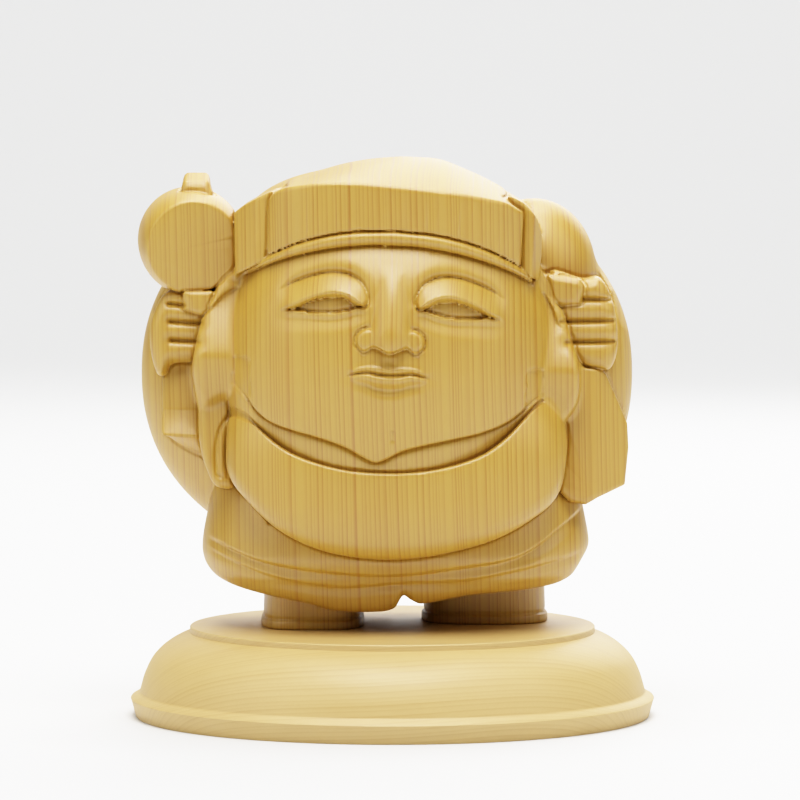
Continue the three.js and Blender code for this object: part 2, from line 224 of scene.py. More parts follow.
# local coordinates of a form turned about x, then y, then z, in degrees
def turned(p, turn):
    x, y, z = p
    rx, ry, rz = (math.radians(t) for t in turn)
    y, z = y * math.cos(rx) + z * math.sin(rx), z * math.cos(rx) - y * math.sin(rx)
    x, z = x * math.cos(ry) - z * math.sin(ry), z * math.cos(ry) + x * math.sin(ry)
    x, y = x * math.cos(rz) + y * math.sin(rz), y * math.cos(rz) - x * math.sin(rz)
    return x, y, z


# distance to a level section, half of it in front and half behind
def section(x, y, width, front, back, power):
    depth = np.where(y < 0, front, back)
    return toShape((np.abs(x) / width + offAxis, np.abs(y) / depth + offAxis), (width, depth), power)


# two distances joined with a rounded edge
def roundedEdge(flat, thick, radius):
    flat, thick = flat + radius, thick + radius
    inner = np.minimum(np.maximum(flat, thick), 0)
    return inner + np.hypot(np.maximum(flat, 0), np.maximum(thick, 0)) - radius


# a board cut to an outline, seen from the front or from the side, with rounded edges
def board(outline, span, rounding, view="front", smoothed=True):
    line = drawn(outline, 4, True) if smoothed else np.array(outline, float)
    middle, half = (span[0] + span[1]) / 2, (span[1] - span[0]) / 2

    def distance(x, y, z):
        across, along = (y, x) if view == "front" else (x, y)
        return roundedEdge(within(line, along, z), np.abs(across - middle) - half, rounding)

    corners = []
    for (along, height), across in zip((line.min(0), line.max(0)), span):
        corners.append(np.array((along, across, height) if view == "front" else (across, along, height)))
    return corners[0], corners[1], distance


# The head leans a little to its own left. Its own coordinates are u (sideways) and w (height).
# A slant, here and below, evens out a distance that is measured across a sloping line.
head = {
    "x": -0.8, "y": 2.0, "z": 65.5, "roll": 2.5, "power": 2.5, "back": 30.0, "top": 106,
    "widths": [(30, 33), (43.5, 38), (52.5, 41), (65.5, 42), (77.5, 40.5), (88.5, 37), (97.5, 34),
               (106, 31)],
    "fronts": [(30, 36), (43.5, 39.6), (52.5, 41.3), (62.5, 42.2), (72.5, 42.4), (79, 42.2), (84, 41.4),
               (88, 40), (91.5, 38.2), (95.5, 35.8), (106, 31)],
    "underCap": 100,
    "jaw": [(-50, 66), (-38, 59.8), (-35.5, 57.9), (-31.8, 53.7), (-28.1, 51.2), (-23.2, 49.7),
            (-15.9, 48.1), (-9.8, 46.2), (-4.8, 43.7), (-2.4, 42.8), (0, 43.6), (3.5, 45.6), (8.3, 47.2),
            (15.5, 49), (22.6, 50.8), (28.6, 53.2), (32.5, 56), (37, 60), (50, 66)],
    "jawSlant": 0.92, "jawEdge": 0.4, "reliefBack": (6, 10),
    "window": ((-46, -45, 40), (46, 34, 108)),
}

neck = {
    "step": 0.8, "underJaw": 0.6, "underJawDrop": 1.1, "sides": (38, 10), "top": 66, "crease": 0.5,
    "window": ((-44, -42, 29), (44, 28, 68)),
}

# lines are drawn for one half of the face and mirrored
eyes = {
    "lidTop": [(27.2, 83.2), (23.4, 85.6), (18.9, 87.4), (14.7, 88.3), (10.6, 88), (7.4, 86.2), (6, 83.8),
               (5.6, 81.7), (6.2, 80.3)],
    "rim": [(27.3, 78.3), (22.9, 80.7), (19.3, 82.4), (16.3, 83.4), (12.7, 83.6), (9.2, 82.5), (7, 81),
            (6.2, 80.3)],
    "opening": [(26, 78.4), (23.5, 79.1), (21.8, 80), (19, 81.3), (15.5, 82.3), (12, 82.4), (10, 81.5),
                (8.3, 80.5), (6.4, 80.3)],
    "lowLid": [(27.3, 78.2), (23.5, 78.8), (19.8, 78.4), (15, 78.4), (11, 79.1), (8, 80.1), (6.3, 80.3)],
    # pairs are the place where a relief starts or ends and the length over which it fades
    "temple": (28.6, 6),
    "browDepth": 2.1, "browRoll": 3.6, "browInner": 0.4, "browStart": (5, 5), "browFoot": (79.5, 2.5),
    "underLine": [(0, 80.2), (8, 80.1), (11, 79.1), (15, 78.4), (19.8, 78.4), (27, 78.2), (31, 78.2)],
    "underDepth": 1.4, "underDrop": 5.5,
    "underStart": (4.5, 3.5), "underEnd": (29.5, 7), "underTop": (-0.2, 2.4),
    "lidProud": 1.3, "lidEnd": (28.2, 5), "lidSwell": 0.85, "rimProud": 0.0,
    "crease": 0.4, "creaseWidth": 0.4, "ballDepth": 1.5, "ballLean": 0.4,
    "lineDepth": 0.6, "lineWidths": (0.5, 0.4), "lineEnd": (27.2, 3), "seam": 0.03,
}

nose = {
    "widths": [(69, 4.8), (71, 5.5), (73.5, 5.5), (76, 4.9), (79, 4.6), (82, 4), (86, 3.6), (89, 4.2),
               (93, 6)],
    "heights": [(69, 2.8), (70.5, 3.4), (73, 3.7), (75, 3.5), (78, 2.7), (81, 2.0), (85, 1.1), (89, 0.2),
                (93, -1.0)],
    "line": [(0, 69.3), (1.2, 69.6), (2.4, 70.2), (4.2, 70.8), (5.3, 69.9), (6.1, 69.5), (7.2, 69.9),
             (8.6, 71.6)],
    "roundness": 2.3, "sunk": 0.5, "hidden": 6, "cut": (-0.175, 0.7), "lineDepth": 0.5, "lineWidth": 0.4,
    "lineUnder": 0.2, "lineEnd": (8.6, 1.5),
    "wing": {"u": 5.3, "w": 72.3, "radii": (3.1, 3.05), "proud": 1.1, "sunk": 1, "roundness": 5,
             "cut": (-0.18, 0.6), "blend": 0.8, "groove": 0.8, "grooveAt": 1.04, "grooveWidth": 0.11,
             "inner": (4.6, 1.2), "foot": (69.6, 1)},
    "dent": 0.4, "dentAt": 67.4, "dentSize": (1.5, 1.4), "blend": 0.4,
}

mouth = {
    "line": [(0, 64.1), (2.5, 64.2), (5, 64.6), (7, 64.4), (9.3, 63.8)],
    "upperEdge": [(0, 65.3), (2, 65.8), (5.4, 65.9), (7.8, 65.2), (9.3, 64)],
    "reach": 9.4, "lowerLip": 3.3, "upperProud": 0.525, "upperStart": (0, 0.7), "upperTop": (0.85, 0.4),
    "upperEnd": (9.2, 2), "lowerProud": 0.9, "lowerShape": 0.7,
    "cut": 0.9, "cutWidth": 0.34, "cutEnd": (10, 1.2),
    "swelling": 0.5, "swellingAt": 64, "swellingSize": (12, 6.5),
    "underDepth": 0.8, "underAt": 0.5, "underSize": (7.5, 1.3),
}

# a small mark of the knife over the chin's point
knifeMark = {"line": ((1.5, 50.4), (1.6, 48.3)), "depth": 0.5, "width": 0.4}

cap = {
    "band": {
        "low": [(0, 95.2), (6, 95.1), (16, 93.7), (25, 91.2), (31, 88.6), (38, 84.5)],
        "edge": -1.3, "roll": 1.9, "rollFrom": 0.1, "rollOver": 0.8, "rollShape": 0.7, "ends": (-39, 34),
        "underPanel": 0.9, "slant": 0.95, "round": 0.5, "endRound": 0.3, "back": -8, "crease": 0.4,
        "window": ((-40, -44, 82), (42, -6, 106)),
    },
    "panel": {
        "front": 37.3, "width": 37.0, "lean": 0.03, "middle": 97, "power": 3.0,
        "low": [(0, 98.8), (11.5, 97.9), (22, 95.2), (30.5, 91.2), (38, 87)],
        "plan": [(-60, 31.2), (-26, 31), (-8, 27.4), (10, 21), (44, 10)],
        "lowSlant": 0.94, "lowRound": 0.5, "sideSlant": 0.95, "sideRound": 0.4, "topSlant": 0.85,
        "topRound": 0.8, "blend": 0.6, "crease": 0.5, "creaseEnd": 4,
        "window": ((-36, -46, 84), (40, 40, 118)),
    },
    # the vault's height along its front edge and along its crest
    "vault": {
        "front": [(-31.2, 103.4), (-30.2, 105.4), (-28.6, 106.8), (-26, 107.7), (-17.9, 109.3),
                  (-9.4, 109.9), (0.5, 109.6), (8, 109), (16.3, 108), (27.1, 105.4), (30, 104.2)],
        "crest": [(-34, 103.6), (-31.2, 105.8), (-26.5, 109), (-23.4, 110.2), (-14.4, 113.4), (-7.6, 115),
                  (0, 116), (4, 116.1), (10.3, 115.8), (17.3, 113.5), (23.9, 110.8), (26.6, 109.3),
                  (28.6, 107), (34, 103)],
        "crestAt": -6.0, "frontAt": -35.0, "power": 1.7, "backFrom": 8.0, "back": 34.4, "backFall": 23.8,
    },
    "folds": [
        {"side": -1, "window": ((-42, -32, 85), (-24, 8, 113)),
         "outline": [(24, 92), (31, 90), (38.4, 85.8), (39.4, 101), (36.6, 103.3), (33.2, 105.3), (30, 107),
                     (27.4, 107.9), (25.6, 107.2), (24, 105)],
         "plan": [(24, -26), (31, -25), (33.8, -24.2), (39, -19), (42, -14)]},
        {"side": 1, "window": ((24, -32, 85), (40, 8, 113)),
         "outline": [(24, 92), (30.4, 89.6), (35.3, 87.8), (36, 93.4), (35.9, 98.6), (34.6, 102.6),
                     (32.9, 105), (30.8, 106.8), (27.6, 108.2), (25.8, 107.4), (24, 105)],
         "plan": [(24, -25.6), (30.4, -24.4), (33.6, -25), (35.9, -19), (42, -12)]},
    ],
    "foldBack": 4, "foldSlant": 0.9, "foldRound": 0.5, "foldCrease": 0.3,
    "crown": {"centre": (-0.6, 4, 94.7), "radii": (37.8, 35, 18.8), "power": 2.3, "low": 89.5,
              "backFrom": 1, "blend": 0.3, "window": ((-40, -32, 68), (42, 44, 116))},
    "droop": {"centre": (0, 20, 90), "radii": (33, 23, 20), "power": 2.2, "blend": 5},
}

# the ears: outline, the arch under the helix and the valley towards the face for each side, and
# how far forward the lobe stands at each height
ears = {
    "sides": [
        {"side": -1, "window": ((-50, -26, 50), (-30, 0, 92)),
         "outline": [(33, 84), (37.4, 88), (42.6, 84.2), (45.7, 76.8), (46.9, 71.8), (47.6, 67.1),
                     (48.1, 63.5), (47.8, 60.3), (46.9, 56.8), (45.4, 54), (43.6, 53.5), (41.5, 54.8),
                     (38.3, 56.4), (33, 60)],
         "arch": [(34, 82.2), (38, 82.6), (41, 81), (44, 77.6)],
         "valley": [(55, 36.8), (61.5, 36.9), (66, 37.5), (73.7, 37.5), (78, 37), (85.5, 36)]},
        {"side": 1, "window": ((29, -26, 50), (50, 0, 92)),
         "outline": [(31, 86), (33.1, 88.8), (36.1, 90), (38.6, 88.4), (40.2, 85.6), (41.2, 82.5),
                     (42.3, 79.8), (43.3, 77.1), (44.4, 73.5), (45.8, 69.3), (46.5, 65.7), (46.7, 61.2),
                     (45.9, 57.2), (43.8, 54.2), (41.1, 53.4), (38, 54.3), (35.8, 56.2), (31, 60)],
         "arch": [(33, 82.6), (34.5, 84.1), (36, 84.9), (37.6, 83.8), (39.5, 80.5), (41, 77)],
         "valley": [(55, 35.2), (57.7, 35.4), (63.8, 36.2), (68.4, 36.4), (74.5, 35.8), (78.4, 34.8),
                    (86.6, 33.2)]},
    ],
    "front": [(52, -17.6), (55, -18.8), (60, -20.4), (65, -21.2), (67, -21), (72, -19), (79, -15.8),
              (84, -14.2)],
    "helix": 1.2, "helixEdge": (-0.45, 0.9), "valleyDepth": 0.7, "valleyWidth": 1.5, "back": -3.0,
    "slant": 0.92, "rounding": 2.2, "blend": 2.0,
}


def headAxes(x, z):
    c, s = math.cos(math.radians(head["roll"])), math.sin(math.radians(head["roll"]))
    dx, dz = x - head["x"], z - head["z"]
    return dx * c - dz * s, head["z"] + dx * s + dz * c


def inHead(window, distance):
    return window[0], window[1], lambda x, y, z: distance(*headAxes(x, z), y)


def headSkin(u, w, y, proud=0.0):
    w = np.minimum(w, head["top"])
    width = through(head["widths"], w) + proud
    front = through(head["fronts"], w) + proud
    return section(u, y - head["y"], width, front, head["back"], head["power"])


# brow, lids and half-closed eyeballs, a is the distance from the face's middle
def eyeRelief(a, w):
    lidTop, rim, opening, lowLid = (drawn(eyes[key]) for key in ("lidTop", "rim", "opening", "lowLid"))
    fromTop, fromRim, fromOpening, fromLow = (away(line, a, w) for line in (lidTop, rim, opening, lowLid))
    inLid = within(np.vstack([lidTop, rim[::-1]]), a, w) < eyes["seam"]
    inRim = within(np.vstack([rim, opening[::-1]]), a, w) < eyes["seam"]
    inBall = within(np.vstack([opening, lowLid[::-1]]), a, w) < eyes["seam"]
    outer = fades(a, *eyes["temple"])  # the carving runs out towards the temple

    # the brow rolls over into the crease above the lid
    roll = 1 - np.minimum(fromTop / eyes["browRoll"], 1)
    inner = eyes["browInner"]
    depth = eyes["browDepth"] * outer * (inner + (1 - inner) * rises(a, *eyes["browStart"]))
    relief = -depth * (1 - np.sqrt(1 - roll ** 2)) * rises(w, *eyes["browFoot"])

    # below the eye a soft valley, then the cheek
    down = through(eyes["underLine"], a) - w
    valley = eyes["underDepth"] * (1 - smooth(down / eyes["underDrop"]))
    relief = relief - (valley * rises(a, *eyes["underStart"]) * fades(a, *eyes["underEnd"])
                       * rises(down, *eyes["underTop"]))

    # the upper lid swells from its crease to the rim, which turns under above the eyeball
    t = fromTop / (fromTop + fromRim + tiny)
    proud = eyes["lidProud"] * fades(a, *eyes["lidEnd"])
    swell = -depth + (depth + proud) * t ** eyes["lidSwell"]
    relief = np.where(inLid, swell, relief) - eyes["crease"] * hill(fromTop, eyes["creaseWidth"]) * outer
    t = fromRim / (fromRim + fromOpening + tiny)
    turnedIn = proud * (1 - t) + eyes["rimProud"] * t
    relief = np.where(inRim & ~inLid, turnedIn, relief)
    t = fromOpening / (fromOpening + fromLow + tiny)
    ball = -eyes["ballDepth"] - eyes["ballLean"] * t
    relief = np.where(inBall & ~inRim & ~inLid, ball, relief)
    low, high = eyes["lineWidths"]
    lines = hill(fromLow, low) + hill(fromOpening, high)
    return relief - eyes["lineDepth"] * lines * fades(a, *eyes["lineEnd"])


# the nose, cut off along its lower line, with a wing on each side
def withNose(relief, a, w):
    wing = nose["wing"]
    height = through(nose["heights"], w)
    fall = (a / through(nose["widths"], w)) ** nose["roundness"]
    ridge = height - (np.maximum(height, 0) + nose["sunk"]) * fall
    above = w - through(nose["line"], a)
    ridge = ridge - nose["hidden"] * (1 - rises(above, *nose["cut"]))
    r = np.hypot((a - wing["u"]) / wing["radii"][0], (w - wing["w"]) / wing["radii"][1])
    lobe = (wing["proud"] + wing["sunk"]) * np.sqrt(np.maximum(1 - r ** wing["roundness"], 0)) - wing["sunk"]
    lobe = np.where(r < 1, lobe - nose["hidden"] * (1 - rises(above, *wing["cut"])), -nose["hidden"])
    relief = softMax(relief, softMax(ridge, lobe, wing["blend"]), nose["blend"])
    line = hill(above + nose["lineUnder"], nose["lineWidth"]) * fades(a, *nose["lineEnd"])
    groove = hill(r - wing["grooveAt"], wing["grooveWidth"])
    groove = groove * rises(a, *wing["inner"]) * rises(w, *wing["foot"])
    dent = hill(a, nose["dentSize"][0]) * hill(w - nose["dentAt"], nose["dentSize"][1])
    return relief - nose["lineDepth"] * line - wing["groove"] * groove - nose["dent"] * dent


# the lips, on a slight swelling
def mouthRelief(a, w):
    line, edge = through(mouth["line"], a), through(mouth["upperEdge"], a)
    e = np.sqrt(np.maximum(1 - (a / mouth["reach"]) ** 2, 0))
    up = (w - line) / (edge - line + 0.1)
    upper = rises(up, *mouth["upperStart"]) * (1 - rises(up, *mouth["upperTop"])) * (w >= line)
    across = np.clip((line - w) / (mouth["lowerLip"] * e + 0.05), 0, 1)
    lower = np.sin(math.pi * across ** mouth["lowerShape"]) * (w < line)
    lips = mouth["upperProud"] * upper * fades(a, *mouth["upperEnd"]) + mouth["lowerProud"] * lower * e
    swelling = hill(a, mouth["swellingSize"][0]) * hill(w - mouth["swellingAt"], mouth["swellingSize"][1])
    cut = hill(w - line, mouth["cutWidth"]) * fades(a, *mouth["cutEnd"])
    below = w - line + mouth["lowerLip"] * e + mouth["underAt"]
    under = hill(below, mouth["underSize"][1]) * hill(a, mouth["underSize"][0])
    return lips + mouth["swelling"] * swelling - mouth["cut"] * cut - mouth["underDepth"] * under


# how far the face stands out of the head's plain surface
def faceRelief(u, w):
    a = np.abs(u)
    relief = withNose(eyeRelief(a, w), a, w) + mouthRelief(a, w)
    mark = hill(segmentDistance(*knifeMark["line"], u, w), knifeMark["width"])
    return (relief - knifeMark["depth"] * mark).astype(np.float32)


def carveFace():
    relief = {}

    def distance(u, w, y):
        if "map" not in relief:
            relief["map"] = faceRelief(u, w)
        skin = headSkin(u, w, y + relief["map"] * fades(y, *head["reliefBack"]))
        jaw = (through(head["jaw"], u) - w) * head["jawSlant"]
        return softMax(softMax(skin, jaw, head["jawEdge"]), w - head["underCap"], 1)

    # the neck shows as a strip under the jaw, deepest where it starts
    def neckDistance(u, w, y):
        below = np.maximum(through(head["jaw"], u) - w, 0)
        step = neck["step"] + neck["underJaw"] * np.exp(-below / neck["underJawDrop"])
        return softMax(headSkin(u, w, y, -step * fades(np.abs(u), *neck["sides"])), w - neck["top"], 1)

    addForm(inHead(head["window"], distance))
    addForm(inHead(neck["window"], neckDistance), 0, neck["crease"])


def carveCap():
    band, panel, vault = cap["band"], cap["panel"], cap["vault"]

    def panelSkin(u, y, out):
        front, width = panel["front"] + out, panel["width"] + out
        return section(u, y - head["y"], width, front, head["back"], panel["power"])

    # the rolled band across the forehead
    def bandDistance(u, w, y):
        a = np.abs(u)
        low, high = through(band["low"], a), through(panel["low"], a)
        t = np.clip((w - low) / (high - low), 0, 1.1)
        roll = np.sin(math.pi * (band["rollFrom"] + band["rollOver"] * t)) ** band["rollShape"]
        skin = panelSkin(u, y, band["edge"] + band["roll"] * roll)
        ends = np.maximum(band["ends"][0] - u, u - band["ends"][1])
        edges = np.maximum(low - w, w - high - band["underPanel"]) * band["slant"]
        body = softMax(skin, edges, band["round"])
        return softMax(body, np.maximum(ends, y - band["back"]), band["endRound"])

    addForm(inHead(band["window"], bandDistance), 0, band["crease"])

    # the upright front panel bends into the vault along its top edge, and both narrow backwards
    def panelDistance(u, w, y):
        skin = panelSkin(u, y, panel["lean"] * (w - panel["middle"]))
        forwards = np.clip((vault["crestAt"] - y) / (vault["crestAt"] - vault["frontAt"]), 0, 1.2)
        backwards = np.clip((y - vault["backFrom"]) / vault["back"], 0, 1)
        crest, front = through(vault["crest"], u), through(vault["front"], u)
        top = crest + (front - crest) * forwards ** vault["power"]
        top = top - vault["backFall"] * (1 - np.sqrt(1 - backwards ** 2))
        under = (through(panel["low"], np.abs(u)) - w) * panel["lowSlant"]
        sides = (np.abs(u) - through(panel["plan"], y)) * panel["sideSlant"]
        body = softMax(skin, sides, panel["sideRound"])
        body = softMax(body, (w - top) * panel["topSlant"], panel["topRound"])
        return softMax(body, under, panel["lowRound"])

    # the folded sides of the cap, set beside the panel
    for fold in cap["folds"]:
        outline = np.array(fold["outline"], float)
        across, depth = np.array(fold["plan"], float).T

        def foldDistance(u, w, y):
            a = u * fold["side"]
            front = np.interp(a, across, depth).astype(np.float32)
            body = softMax(within(outline, a, w), (front - y) * cap["foldSlant"], cap["foldRound"])
            return softMax(body, y - cap["foldBack"], 1)

        addForm(inHead(fold["window"], foldDistance), 0, cap["foldCrease"])

    addForm(inHead(panel["window"], panelDistance), panel["blend"], panel["crease"], panel["creaseEnd"])

    # the soft crown behind, which droops over the back of the head
    crown, droop = cap["crown"], cap["droop"]
    puff = egg(crown["centre"], crown["radii"], crown["power"])[2]
    hang = egg(droop["centre"], droop["radii"], droop["power"])[2]

    def crownDistance(u, w, y):
        upper = softMax(puff(u, y, w), np.minimum(crown["low"] - w, crown["backFrom"] - y), 1)
        return softMin(upper, hang(u, y, w), droop["blend"])

    addForm(inHead(crown["window"], crownDistance), crown["blend"])


def carveEars():
    for ear in ears["sides"]:
        line = drawn(ear["outline"], 4, True)

        def distance(u, w, y):
            a = u * ear["side"]
            front = through(ears["front"], w)
            front = front - ears["helix"] * rises(w - through(ear["arch"], a), *ears["helixEdge"])
            front = front + ears["valleyDepth"] * hill(a - through(ear["valley"], w), ears["valleyWidth"])
            thick = np.maximum((front - y) * ears["slant"], y - ears["back"])
            return roundedEdge(within(line, a, w), thick, ears["rounding"])

        addForm(inHead(ear["window"], distance), ears["blend"])


robe = {
    "x": 0.8, "y": 4.0, "power": 2.4, "top": 60, "hemSlant": 0.95, "hemRound": 2.6,
    "widths": [(4, 42), (8, 43.4), (11.5, 45), (13, 46.2), (19, 48), (28, 46.8), (40, 44), (60, 39)],
    "fronts": [(4, 25), (8, 26.6), (11.5, 28.4), (14, 30.4), (19, 32), (28, 30), (40, 26), (60, 24)],
    "backs": [(4, 23), (11.5, 26), (14, 29), (19, 31), (40, 31), (60, 29)],
    "hem": [(-50, 16), (-46, 13.5), (-41.5, 11.3), (-32, 9), (-20.7, 7), (-14.6, 5.3), (-5, 5), (0.5, 6),
            (2.6, 9.2), (4.4, 8.2), (7, 7.1), (18.6, 9.1), (37, 10.6), (44, 12.6), (47.8, 17.5), (52, 21)],
    "window": ((-49, -30, 3), (51, 37, 61)),
    "folds": [
        {"line": [(-48, 24), (-45.2, 22.6), (-32.6, 17.9), (-17.7, 15.5), (-0.6, 14.5), (14.1, 16.1),
                  (31.4, 19.2), (43, 26.8), (50, 32)],
         "depth": 1.5, "reach": 4.2},
        {"line": [(-48, 21), (-44, 19.4), (-30.1, 14.2), (-14, 11.6), (1.9, 12.5), (19, 13.4), (39, 17.2),
                  (50, 20)],
         "depth": 0.9, "reach": 3.2},
    ],
    "foldEdge": (-0.225, 0.45), "foldEnds": (47.5, 5), "foldBack": 22,
    "foldWindow": ((-50, -44, 3), (52, 30, 30)),
}

belly = {
    "centre": (0.5, -3, 36), "radii": (46.5, 34.5, 34), "power": 2.6, "sides": (-40.7, 43),
    "collar": [(-50, 66), (-42, 60), (-38.5, 57), (-35.6, 54), (-32, 50.3), (-27.1, 46.5), (-22.3, 44.1),
               (-15.1, 41.9), (-7.8, 40.7), (1.9, 40.4), (11.5, 41.4), (21.2, 44.3), (27.2, 48.2),
               (32.1, 53), (36, 57), (42, 62), (50, 68)],
    "under": [(-46, 44), (-42.1, 39.6), (-37.4, 34.7), (-27.5, 25.9), (-15.2, 20.6), (1.9, 19),
              (21.4, 22.5), (33.7, 28.2), (41.3, 34.9), (43.2, 43.1)],
    "collarSlant": 0.88, "collarRound": 1.0, "underSlant": 0.8, "underRound": 3.6,
    "sideRound": 3, "crease": 0.55,
}

feet = [
    {"x": -19.8, "front": -14.5, "back": 24, "halfWidth": 12.8, "power": 3.4},
    {"x": 23, "front": -1, "back": 29, "halfWidth": 15.8, "power": 2.8},
]
sole = {
    "height": 2.2, "step": 0.4, "inset": 0.5, "draft": 0.03, "edge": 0.5, "top": 15, "reach": 17,
    "line": 0.5, "lineAbove": 0.35, "lineWidth": 0.3,
}


def carveRobe():
    def distance(x, y, z):
        width, front, back = (through(robe[key], z) for key in ("widths", "fronts", "backs"))
        skin = section(x - robe["x"], y - robe["y"], width, front, back, robe["power"])
        hem = (through(robe["hem"], x) - z) * robe["hemSlant"]
        return softMax(softMax(skin, hem, robe["hemRound"]), z - robe["top"], 1)

    addForm((*robe["window"], distance))


def carveBelly():
    low, high, shape = egg(belly["centre"], belly["radii"], belly["power"])

    def distance(x, y, z):
        sides = np.maximum(belly["sides"][0] - x, x - belly["sides"][1])
        top = (z - through(belly["collar"], x)) * belly["collarSlant"]
        bottom = (through(belly["under"], x) - z) * belly["underSlant"]
        body = softMax(softMax(shape(x, y, z), sides, belly["sideRound"]), top, belly["collarRound"])
        return softMax(body, bottom, belly["underRound"])

    addForm((low, high, distance), 0, belly["crease"])


def carveFeet():
    for foot in feet:
        middle, reach = (foot["front"] + foot["back"]) / 2, (foot["back"] - foot["front"]) / 2

        def distance(x, y, z):
            size = -sole["draft"] * z - sole["inset"] * rises(z, sole["height"], sole["step"])
            width = foot["halfWidth"] + size
            flat = section(x - foot["x"], y - middle, width, reach + size, reach + size, foot["power"])
            line = sole["line"] * hill(z - sole["height"] - sole["lineAbove"], sole["lineWidth"])
            return softMax(softMax(flat, z - sole["top"], 0), -z, sole["edge"]) + line

        low = foot["x"] - sole["reach"], foot["front"], 0
        addForm((low, (foot["x"] + sole["reach"], foot["back"], sole["top"]), distance))


# the skirt's overlapping folds: each line is the edge of a layer over the next one
def pressSkirt():
    def relief(x, z):
        out = 0
        fade = fades(np.abs(x - robe["x"]), *robe["foldEnds"])
        for fold in robe["folds"]:
            below = through(fold["line"], x) - z
            layer = rises(below, *robe["foldEdge"]) * (1 - smooth(below / fold["reach"]))
            out = out - fold["depth"] * layer * fade
        return out

    press(*robe["foldWindow"], relief, -1, robe["foldBack"])


sack = {"centre": (-1.4, 14, 62), "radii": (61.3, 29.5, 48), "power": 2.2}
sackNeck = {"centre": (35, 8, 87), "radii": (15.6, 16, 18.6), "power": 2.05, "blend": 2}
sackFolds = {
    "from": (38, 88), "count": 9, "sway": 0.5, "swayCount": 3, "depth": 1.3, "level": 0.7,
    "start": (10, 12), "end": (22, 40), "window": ((-64, 5, 14), (62, 46, 112)), "front": 2,
}

mallet = {
    "centre": (-49.6, -4.5, 95.4), "radius": 13.05, "endRadius": 11.2, "length": 23.4, "turn": (6, 0, 5),
    "swell": 2.8, "slant": 0.92, "edge": 0.2, "reach": 18.0, "crease": 0.4,
    "stub": {"x": -48.2, "y": -6, "bottom": 102, "top": 111.3, "width": 6.9, "topWidth": 6.4, "power": 5,
             "foot": 1.1, "footTop": 107.2, "footDrop": 1.4, "topLean": 0.4, "slant": 0.88, "edge": 1.2,
             "low": (-6, -6), "high": (7, 6), "crease": 0.35},
}

hands = {
    "left": {
        "outline": [(-47, 84), (-55.3, 83), (-58.6, 78), (-59.6, 73), (-59.1, 67.3), (-57.6, 62.8),
                    (-55.6, 62.8), (-53.5, 65.6), (-46, 66), (-43, 70), (-42, 80)],
        "span": (-14.6, 10), "rounding": 3.6, "window": ((-62, -44, 60), (-40, 20, 90)),
        "grooves": [((-54.8, 80.3), (-51.2, 79.9)), ((-54.4, 75.9), (-46.9, 75.5)),
                    ((-54.2, 71.3), (-47.4, 71.0))],
        "thumb": {"outline": [(-51.4, 83.6), (-43.2, 83.6), (-44.4, 78.2), (-46.2, 77.2), (-51.2, 78.8)],
                  "span": (-16.4, -6), "rounding": 1.5},
    },
    "right": {
        "outline": [(38.2, 88), (46.6, 86.3), (50.6, 86.6), (52.8, 84), (54.6, 78.6), (55.3, 71.2),
                    (54.5, 66), (52, 63.6), (45.6, 65), (41, 70), (38, 76)],
        "span": (-14.4, 10), "rounding": 3.6, "window": ((36, -44, 60), (58, 20, 92)),
        "grooves": [((46.8, 81.4), (53.5, 81.2)), ((41.2, 75.9), (54, 76.1)), ((42.6, 70.8), (54.2, 71.0))],
        "thumb": {"outline": [(36.8, 88), (46.2, 86.4), (47.4, 84.6), (47.2, 81), (46.2, 79.7),
                              (38.5, 79.3)],
                  "span": (-15.6, -6), "rounding": 2.2},
    },
}
# each groove between two fingers is a fine cut in a wider hollow
fingers = {"cut": 1.5, "cutWidth": 0.5, "hollow": 0.7, "hollowWidth": 1.6, "back": 6}
handCrease, thumbCrease = 0.45, 0.4

sleeves = {
    # the raised arm's sleeve flares to its edge and is hollow beneath
    "right": {"left": -56.6, "right": -41, "rounding": 0.7,
              "profile": [(-10, 74), (-10, 54.2), (-13.6, 47), (-13.6, 34), (12, 34), (12, 74)],
              "bottom": 47.8, "lower": 0.03, "hollow": 0.055, "slant": 0.8, "edge": 0.5},
    "left": {
        "outline": [(36, 44), (36, 76), (42, 76), (47, 65), (51.8, 64.4), (55.6, 56), (57.9, 50.5),
                    (58.2, 44.5), (57.3, 35.4), (50.5, 32.6), (47.4, 30.8), (43.5, 31.6), (40.5, 34.5)],
        "span": (-14, 12), "rounding": 1.6, "fallFrom": 49.5, "fall": 0.75, "slant": 0.8, "edge": 0.7,
    },
    "shoulder": {
        "outline": [(-47.2, 60), (-47.5, 54), (-47.4, 48), (-46.6, 43), (-45.4, 39.5), (-43.8, 36.2),
                    (-41.4, 35), (-38.6, 36), (-38, 45), (-38, 60)],
        "span": (-17, 10), "rounding": 1.7,
    },
    "crease": 0.4,
    "hems": [
        [(-39, 54.8), (-42, 49.9), (-43.2, 44.5), (-43, 39.1), (-42, 37.9)],
        [(-39, 52.4), (-40.2, 48), (-40.6, 43.1), (-40.4, 37.9)],
    ],
    "hemDepth": 0.7, "hemWidth": 0.45, "hemWindow": ((-48, -30, 34), (-34, 0, 58)), "hemBack": 2,
}


def carveSack():
    addForm(egg(sack["centre"], sack["radii"], sack["power"]))
    addForm(egg(sackNeck["centre"], sackNeck["radii"], sackNeck["power"]), sackNeck["blend"])


# folds that run over the sack's back from the fist that holds its neck
def pressSack():
    f = sackFolds

    def relief(x, z):
        dx, dz = x - f["from"][0], z - f["from"][1]
        r, angle = np.hypot(dx, dz), np.arctan2(dz, dx)
        reach = rises(r, *f["start"]) * (1 - rises(r, *f["end"]))
        wave = np.abs(np.sin(angle * f["count"] + f["sway"] * np.sin(angle * f["swayCount"])))
        return f["depth"] * (np.sqrt(wave) - f["level"]) * reach

    press(*f["window"], relief, 1, -f["front"])


